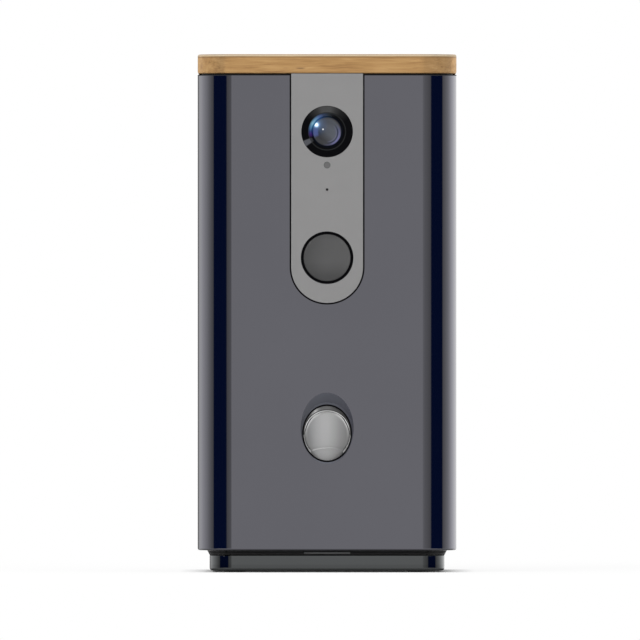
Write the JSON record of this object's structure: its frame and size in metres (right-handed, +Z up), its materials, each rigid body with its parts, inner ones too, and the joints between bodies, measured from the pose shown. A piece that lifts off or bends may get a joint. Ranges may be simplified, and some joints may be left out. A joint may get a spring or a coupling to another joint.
{
  "type": "treat tossing pet camera",
  "caption": "Square pet camera tower with lift-off bamboo lid, front camera plate, call button and a sprung flap over a small catapult that throws dosed treats.",
  "frame": {"origin": "on the surface under the middle of the base", "axes": "+Z up, -Y out of the front face, +X to the right of a viewer facing the front"},
  "size_m": [0.13, 0.13, 0.26],
  "materials": {
    "gunmetal": "glossy metallic lacquer",
    "satin_grey": "fine satin grey",
    "black_trim": "gloss black",
    "lens_glass": "coated optical glass",
    "lens_black": "matte black",
    "circuit_board": "green solder mask",
    "steel": "plated steel",
    "motor_steel": "drawn steel can",
    "sensor_window": "tinted light pipe",
    "black_rubber": "soft black rubber",
    "button_grey": "satin dark grey",
    "switch_black": "matte black",
    "silver": "satin silver",
    "light_grey": "light grey ABS",
    "orange": "orange acetal",
    "white_gear": "natural acetal",
    "bin_white": "food-grade off-white",
    "frame_grey": "glass-filled dark grey",
    "speaker_black": "black basket and paper cone",
    "foam": "closed-cell foam",
    "base_black": "matte black",
    "light_guide": "translucent grey",
    "bamboo": "oiled bamboo, fine grain",
    "lid_black": "matte black",
    "silicone": "grey silicone"
  },
  "bodies": {
    "housing": {"outer_shell": "gunmetal", "base_plinth": "gunmetal", "camera_plate": "satin_grey", "camera_bezel": "black_trim", "button_ring": "black_trim", "outlet_ring": "black_trim", "power_inlet": "black_trim", "lens_window": "lens_glass", "lens_element": "lens_glass", "lens_barrel": "lens_black", "camera_board": "circuit_board", "main_board": "circuit_board", "inlet_board": "circuit_board", "light_board": "circuit_board", "board_screws": "steel", "frame_screws": "steel", "base_screws": "steel", "flap_pin": "steel", "flap_spring": "steel", "launcher_spring": "steel", "rotor_spindle": "steel", "launch_motor": "motor_steel", "dosing_motor": "motor_steel", "light_sensor": "sensor_window", "microphone": "black_rubber", "rubber_feet": "black_rubber", "camera_cable": "black_rubber", "button_switch": "switch_black", "wifi_antenna": "switch_black", "launch_chute": "light_grey", "launch_frame": "light_grey", "drop_tube": "light_grey", "dosing_deck": "light_grey", "motor_bracket": "light_grey", "treat_bin": "bin_white", "chassis_plate": "frame_grey", "left_frame": "frame_grey", "right_frame": "frame_grey", "speaker": "speaker_black", "speaker_gasket": "foam", "base_neck": "base_black", "base_plate": "base_black", "status_light": "light_guide"},
    "lid": {"lid_board": "bamboo", "lid_plug": "lid_black", "lid_gasket": "silicone", "lid_screws": "steel"},
    "flap": {"outlet_flap": "silver"},
    "call_button_cap": {"call_button": "button_grey"},
    "reset_button_cap": {"reset_button": "black_trim"},
    "rotor": {"dosing_rotor": "orange", "rotor_gear": "white_gear"},
    "dosing_drive": {"dosing_pinion": "white_gear"},
    "launcher": {"launcher_arm": "orange", "arm_sector": "white_gear", "arm_shaft": "steel"},
    "launch_drive": {"launch_gear": "white_gear"}
  },
  "joints": [
    {"name": "lid_lift", "type": "slide", "parent": "housing", "child": "lid", "axis": [0, 0, 1], "range_m": [0, 0.024]},
    {"name": "flap_swing", "type": "hinge", "parent": "housing", "child": "flap", "pos_m": [0, -0.059, 0.054], "axis": [1, 0, 0], "range_deg": [0, 42], "stiffness_Nm_per_rad": 0.002, "springref_deg": -20.05},
    {"name": "call_button_press", "type": "slide", "parent": "housing", "child": "call_button_cap", "axis": [0, 1, 0], "range_m": [0, 0.001], "stiffness_N_per_m": 400},
    {"name": "reset_button_press", "type": "slide", "parent": "housing", "child": "reset_button_cap", "axis": [0, -1, 0], "range_m": [0, 0.0008], "stiffness_N_per_m": 300},
    {"name": "rotor_turn", "type": "hinge", "parent": "housing", "child": "rotor", "pos_m": [0, -0.00485, 0.11], "axis": [0, 0, 1], "continuous": true},
    {"name": "dosing_pinion_turn", "type": "hinge", "parent": "housing", "child": "dosing_drive", "pos_m": [0, 0.04015, 0.11], "axis": [0, 0, 1], "continuous": true},
    {"name": "launcher_swing", "type": "hinge", "parent": "housing", "child": "launcher", "pos_m": [0, -0.04985, 0.02636], "axis": [-1, 0, 0], "range_deg": [0, 48], "stiffness_Nm_per_rad": 0.05, "springref_deg": -20.05},
    {"name": "launch_gear_turn", "type": "hinge", "parent": "housing", "child": "launch_drive", "pos_m": [0, -0.0376, 0.04758], "axis": [1, 0, 0], "range_deg": [0, 120]}
  ],
  "couplings": [
    {"joint": "dosing_pinion_turn", "follows": "rotor_turn", "ratio": -4},
    {"joint": "launch_gear_turn", "follows": "launcher_swing", "ratio": 2.5}
  ]
}
